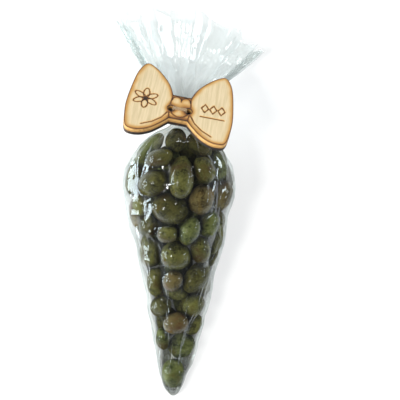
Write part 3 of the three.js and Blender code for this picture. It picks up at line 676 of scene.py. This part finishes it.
def film_piece(nuts, bow):
    centre = np.array([bow["origin"][0], bow["origin"][1] + NECK_FROM_TIE, NECK_HEIGHT])
    body, contact = body_film(nuts, centre)
    rows = np.concatenate([body, ruffle_film(centre, bow)])
    tip = body[0].mean(0) + [0, -0.1, 0]
    points = np.vstack([rows.reshape(-1, 3), tip])
    body_look = film_material(
        "film", tint=(0.97, 0.98, 0.97), edge_tint=(0.60, 0.67, 0.64),
        haze=0.002, edge_haze=0.22, shine=0.85, fine=0.1,
    )
    ruffle_look = film_material(
        "film_ruffle", tint=(0.84, 0.86, 0.85), edge_tint=(0.65, 0.685, 0.675),
        haze=0.25, edge_haze=0.35, shine=0.2, fine=0.3,
    )
    piece = make_piece("cone_film", points, film_faces(len(rows)), body_look)
    piece.data.materials.append(ruffle_look)
    ruffle_from, ruffle_to = (len(body) - 1) * AROUND, (len(rows) - 1) * AROUND
    index = [int(ruffle_from <= k < ruffle_to) for k in range(len(piece.data.polygons))]
    piece.data.polygons.foreach_set("material_index", index)
    paint(piece, "dust_and_shade", film_dust_and_shade(points, len(body) - 1, centre))
    pressed = np.zeros(len(points))
    pressed[:contact.size] = contact.ravel()
    paint(piece, "contact", pressed)
    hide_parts("cone_bag")


# Plywood bow

def read_bow():
    """The bow's own frame and outline: x along the wings, y up them, z out of its face."""
    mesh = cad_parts["bow_tag"].data
    points = node_points("bow_tag")
    corners = [np.array([points[v] for v in face.vertices]) for face in mesh.polygons]
    normals = np.array([np.cross(c[1] - c[0], c[2] - c[0]) for c in corners])
    sizes = np.linalg.norm(normals, axis=1)
    units = normals / np.maximum(sizes, 1e-9)[:, None]
    start = units[np.argmax(sizes * (units[:, 2] > 0.5))]
    face = units @ start > 0.999
    normal = normals[face].sum(0)
    normal /= np.linalg.norm(normal)
    height = points @ normal
    top = points[height > height.max() - FACE_TOLERANCE]
    top = np.unique(top.round(3), axis=0)
    spread_ways = np.linalg.eigh(np.cov(top.T))[1]
    x_way = spread_ways[:, 2]
    if x_way[0] < 0:
        x_way = -x_way
    y_way = np.cross(normal, x_way)
    flat = np.stack([top @ x_way, top @ y_way], 1)
    middle_x = (flat[:, 0].min() + flat[:, 0].max()) / 2
    rims = flat[np.abs(flat[:, 0] - middle_x) < HOLE_SEARCH]
    middle_y = np.median(rims[:, 1])
    thickness = height.max() - height.min()
    origin = x_way * middle_x + y_way * middle_y + normal * height.min()
    basis = np.array([x_way, y_way, normal])
    loops = top_loops(mesh, points, height, basis, origin)
    return {"origin": origin, "basis": basis, "normal": normal, "thickness": thickness, "loops": loops}


def top_loops(mesh, points, height, basis, origin):
    """The closed outlines of the bow's upper face, in its own frame."""
    key = {}
    names = []
    for p in points:
        names.append(key.setdefault(tuple(p.round(2)), len(key)))
    flat = np.zeros((len(key), 2))
    for p, k in zip(points, names):
        flat[k] = ((p - origin) @ basis.T)[:2]
    edges = {}
    for face in mesh.polygons:
        if min(height[v] for v in face.vertices) < height.max() - FACE_TOLERANCE:
            continue
        ring = [names[v] for v in face.vertices]
        for a, b in zip(ring, ring[1:] + ring[:1]):
            edges[(a, b)] = True
    border = {a: b for a, b in edges if (b, a) not in edges}
    loops = []
    while border:
        first = next(iter(border))
        loop = [first]
        while loop[-1] in border:
            loop.append(border.pop(loop[-1]))
        loops.append(flat[loop[:-1]])
    return sorted(loops, key=len, reverse=True)


def smooth_loop(loop, pieces):
    """A closed outline with its gentle bends rounded and its corners kept."""
    before, after = np.roll(loop, 1, 0), np.roll(loop, -1, 0)
    way_in, way_out = loop - before, after - loop
    turn = (way_in * way_out).sum(1) / np.linalg.norm(way_in, axis=1) / np.linalg.norm(way_out, axis=1)
    sharp = turn < SHARP_TURN
    slope = (after - before) / 2
    fine = []
    count = len(loop)
    for k in range(count):
        n = (k + 1) % count
        a, b = loop[k], loop[n]
        ta = way_out[k] if sharp[k] else slope[k]
        tb = way_out[k] if sharp[n] else slope[n]
        for step in range(pieces):
            t = step / pieces
            fine.append((2 * t**3 - 3 * t**2 + 1) * a + (t**3 - 2 * t**2 + t) * ta
                        + (3 * t**2 - 2 * t**3) * b + (t**3 - t**2) * tb)
    return np.array(fine)


def segment_distance(points, a, b):
    way = b - a
    t = np.clip(((points - a) @ way) / max(way @ way, 1e-9), 0, 1)
    return np.linalg.norm(points - a - t[:, None] * way, axis=1)


def line_distance(points, line):
    nearest = np.full(len(points), 1e9)
    for a, b in zip(line[:-1], line[1:]):
        nearest = np.minimum(nearest, segment_distance(points, a, b))
    return nearest


def arc(x, y, rx, ry, start, end, steps=16):
    """Points of an oval arc, in degrees anticlockwise from the right."""
    angles = np.radians(np.linspace(start, end, steps))
    return np.stack([x + rx * np.cos(angles), y + ry * np.sin(angles)], 1)


def knot_lines():
    """Cloth folds cut into the knot and the inner wings."""
    lines = [arc(-2.9, 6.9, 2.9, 3.4, 0, 180), arc(2.9, 6.9, 2.9, 3.4, 0, 180)]
    lines.append(np.array([[0, 6.6], [0, 10.2]]))
    lines.append(arc(0, -1.2, 5.4, 5.0, 200, 340))
    for side in (-1, 1):
        hem = [[side * 7.4, -3.6], [side * 10.5, -9.0], [side * 15.5, -13.6], [side * 22, -17.2]]
        lines.append(np.array(hem))
        lines.append(np.array([[side * 5.8, 11.2], [side * 6.6, 3.4]]))
        lines.append(np.array([[side * 6.6, -3.2], [side * 5.8, -8.1]]))
    return lines


def motif_lines():
    """A plain rosette on the left wing, and a row of lozenges over a bar on the right."""
    lines = []
    for k in range(PETALS):
        angle = math.radians(360 / PETALS * k + 30)
        out = np.array([math.cos(angle), math.sin(angle)])
        petal = arc(0, 0, *PETAL_SIZE, 0, 360, 25)
        lines.append(petal @ np.array([out, [-out[1], out[0]]]) + ROSETTE + PETAL_RING * out)
    lines.append(arc(*ROSETTE, ROSETTE_EYE, ROSETTE_EYE, 0, 360))
    across, up = LOZENGE_HALF
    corners = np.array([[-across, 0], [0, up], [across, 0], [0, -up], [-across, 0]])
    for x in LOZENGES:
        lines.append(corners + [x, LOZENGE_HEIGHT])
    lines.append(np.array(BAR))
    return lines


def inside_loop(points, loop):
    inside = np.zeros(len(points), bool)
    for a, b in zip(loop, np.roll(loop, -1, 0)):
        crosses = (a[1] > points[:, 1]) != (b[1] > points[:, 1])
        if crosses.any():
            x = a[0] + (points[:, 1] - a[1]) / (b[1] - a[1] + 1e-12) * (b[0] - a[0])
            inside ^= crosses & (points[:, 0] < x)
    return inside


def inside_ply(points, loops):
    """Whether points lie inside the outline and outside the holes."""
    inside = inside_loop(points, loops[0])
    for hole in loops[1:]:
        inside &= ~inside_loop(points, hole)
    return inside


def ply_sheet(loops, closed):
    """The bow's face as a fine flat net: its points, triangles and border edges."""
    low, high = loops[0].min(0), loops[0].max(0)
    xs = np.arange(low[0], high[0], PLY_GRID)
    ys = np.arange(low[1], high[1], PLY_GRID)
    grid = np.stack(np.meshgrid(xs, ys), -1).reshape(-1, 2)
    grid[:, 0] += np.repeat(np.arange(len(ys)) % 2, len(xs)) * PLY_GRID / 2
    to_edge = np.min([line_distance(grid, line) for line in closed], axis=0)
    grid = grid[inside_ply(grid, loops) & (to_edge > PLY_GRID * 0.6)]
    edges = []
    start = 0
    for loop in loops:
        count = len(loop)
        edges += [(start + k, start + (k + 1) % count) for k in range(count)]
        start += count
    net = [Vector(p) for p in np.vstack([*loops, grid])]
    made = geometry.delaunay_2d_cdt(net, edges, [], 0, 1e-6)
    flat = np.array([tuple(p) for p in made[0]])
    kept = {source: k for k, sources in enumerate(made[3]) for source in sources}
    triangles = np.array(made[2])
    triangles = triangles[inside_ply(flat[triangles].mean(1), loops)]
    a, b, c = (flat[triangles[:, k]] for k in range(3))
    turned = np.cross(b - a, c - a) < 0
    triangles[turned] = triangles[turned][:, ::-1]
    return flat, triangles, [(kept[a], kept[b]) for a, b in edges]


def burns(flat, edge_gap):
    """How deep each point of the face is cut, and how dark it is scorched, from 0 to 1."""
    cut_gap = np.min([line_distance(flat, line) for line in knot_lines() + motif_lines()], axis=0)
    wobble = 1 + 0.5 * np.array([noise.noise(Vector((p[0] * 0.16, p[1] * 0.16, 3))) for p in flat])
    halo = 0.42 * np.exp(-(edge_gap / (SCORCH_REACH * wobble)) ** 2)
    halo = halo + 0.5 * np.exp(-(edge_gap / CHAR_REACH) ** 2)
    toast = 0.14 * np.exp(-(cut_gap / CUT_TOAST_REACH) ** 2)
    toast += 0.2 * np.exp(-(flat[:, 0] / KNOT_TOAST_REACH) ** 4) * wobble
    groove = np.clip(1.6 - cut_gap / GROOVE, 0, 1)
    return groove, np.clip(np.maximum(halo + toast, 0.9 * groove), 0, 1)


def bow_piece(bow):
    loops = [smooth_loop(bow["loops"][0], 4)] + [smooth_loop(loop, 2) for loop in bow["loops"][1:3]]
    closed = [np.vstack([loop, loop[:1]]) for loop in loops]
    flat, triangles, edges = ply_sheet(loops, closed)
    edge_gap = np.min([line_distance(flat, line) for line in closed], axis=0)
    groove, scorch = burns(flat, edge_gap)
    on_rim = edge_gap < 1e-3
    thick = bow["thickness"]
    top_z = np.where(on_rim, thick - PLY_BEVEL * 0.5, thick) - GROOVE_DEPTH * groove * ~on_rim
    count = len(flat)
    local = np.vstack([np.column_stack([flat, top_z]), np.column_stack([flat, np.zeros(count)])])
    faces = [tuple(t) for t in triangles] + [tuple(count + v for v in t[::-1]) for t in triangles]
    faces += [(i, i + count, j + count, j) for i, j in edges]
    face_looks = [0] * (2 * len(triangles)) + [1] * len(edges)
    points = local @ bow["basis"] + bow["origin"]
    piece = make_piece("bow_ply", points, faces, ply_face_material(), smooth=False)
    piece.data.materials.append(ply_edge_material())
    piece.data.polygons.foreach_set("material_index", face_looks)
    paint(piece, "scorch", np.concatenate([scorch, scorch]))
    paint(piece, "depth", np.concatenate([np.ones(count), np.zeros(count)]))
    layer = piece.data.attributes.new("flat", "FLOAT_VECTOR", "POINT")
    layer.data.foreach_set("vector", (local * MM).astype(np.float32).ravel())
    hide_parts("bow_tag")


# Stage, light and camera

def floor_piece():
    """A white floor that keeps the bag's shadow."""
    material, tree, output = new_material("floor_white")
    path = tree.nodes.new("ShaderNodeLightPath")
    watched = math_node(tree, "MAXIMUM", path.outputs["Is Camera Ray"])
    tree.links.new(path.outputs["Is Glossy Ray"], watched.inputs[1])
    lit = add(tree, "ShaderNodeBsdfDiffuse", Color=(0.82, 0.82, 0.82, 1))
    faint = add(tree, "ShaderNodeBsdfDiffuse", Color=(FLOOR_SHADOW, FLOOR_SHADOW, FLOOR_SHADOW, 1))
    glow = add(tree, "ShaderNodeEmission", Color=(1, 1, 1, 1), Strength=FLOOR_GLOW)
    both = tree.nodes.new("ShaderNodeAddShader")
    tree.links.new(faint.outputs[0], both.inputs[0])
    tree.links.new(glow.outputs[0], both.inputs[1])
    tree.links.new(mix_shader(tree, watched.outputs[0], lit, both).outputs[0], output.inputs["Surface"])
    mesh = bpy.data.meshes.new("floor")
    side = 3.0
    corners = [(-side, -side, 0), (side, -side, 0), (side, side, 0), (-side, side, 0)]
    mesh.from_pydata(corners, [], [(0, 1, 2, 3)])
    mesh.materials.append(material)
    floor = bpy.data.objects.new("floor", mesh)
    bpy.context.scene.collection.objects.link(floor)


def world_light():
    world = bpy.data.worlds.new("studio")
    world.use_nodes = True
    tree = world.node_tree
    tree.nodes.clear()
    output = tree.nodes.new("ShaderNodeOutputWorld")
    soft = add(tree, "ShaderNodeBackground", Color=(0.93, 0.96, 1, 1), Strength=0.17)
    dim = add(tree, "ShaderNodeBackground", Color=(0.9, 0.95, 1, 1), Strength=0.05)
    white = add(tree, "ShaderNodeBackground", Color=(1, 1, 1, 1), Strength=1)
    path = tree.nodes.new("ShaderNodeLightPath")
    mirrored = mix_shader(tree, path.outputs["Is Glossy Ray"], soft, dim)
    seen = mix_shader(tree, path.outputs["Is Camera Ray"], mirrored, white)
    tree.links.new(seen.outputs[0], output.inputs["Surface"])
    bpy.context.scene.world = world


def lamp(name, place, size, power, colour, diffuse=1.0):
    """A soft box in metres, turned to the bag's middle."""
    light = bpy.data.lights.new(name, "AREA")
    light.shape = "RECTANGLE"
    light.size, light.size_y = size
    light.energy = power
    light.color = colour
    light.diffuse_factor = diffuse
    lamp_object = bpy.data.objects.new(name, light)
    lamp_object.location = place
    lamp_object.rotation_euler = Vector(place).to_track_quat("Z", "Y").to_euler()
    bpy.context.scene.collection.objects.link(lamp_object)


def lamps():
    lamp("key", (-0.62, -0.30, 1.05), (0.24, 0.32), 12.8, (1, 0.985, 0.95))
    lamp("window_left", (-0.7, -0.03, 0.24), (0.66, 0.34), 11, (0.84, 0.95, 1), 0.09)
    lamp("window_right", (0.7, -0.05, 0.38), (0.6, 0.2), 5.5, (0.9, 0.97, 1), 0.04)
    lamp("back", (0.1, 0.9, 0.8), (0.5, 0.2), 3, (1, 1, 1), 0.5)


def camera():
    data = bpy.data.cameras.new("camera")
    data.lens = CAMERA_LENS
    data.sensor_width = 36
    data.clip_start = 0.01
    view = bpy.data.objects.new("camera", data)
    away = Vector((0, -math.sin(CAMERA_TILT), math.cos(CAMERA_TILT))) * CAMERA_DISTANCE
    view.location = (Vector(CAMERA_TARGET) + away) * MM
    view.rotation_euler = (CAMERA_TILT, 0, 0)
    bpy.context.scene.collection.objects.link(view)
    bpy.context.scene.camera = view


camera()
floor_piece()
world_light()
lamps()
bpy.context.scene.view_settings.view_transform = "Standard"

nut_list = [read_nut(name) for name in sorted(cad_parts) if name.startswith("nut_")]
bow_frame = read_bow()
nut_pieces(nut_list)
film_piece(nut_list, bow_frame)
bow_piece(bow_frame)
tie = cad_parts["twist_tie"]
tie.data.materials.clear()
tie.data.materials.append(tie_material())
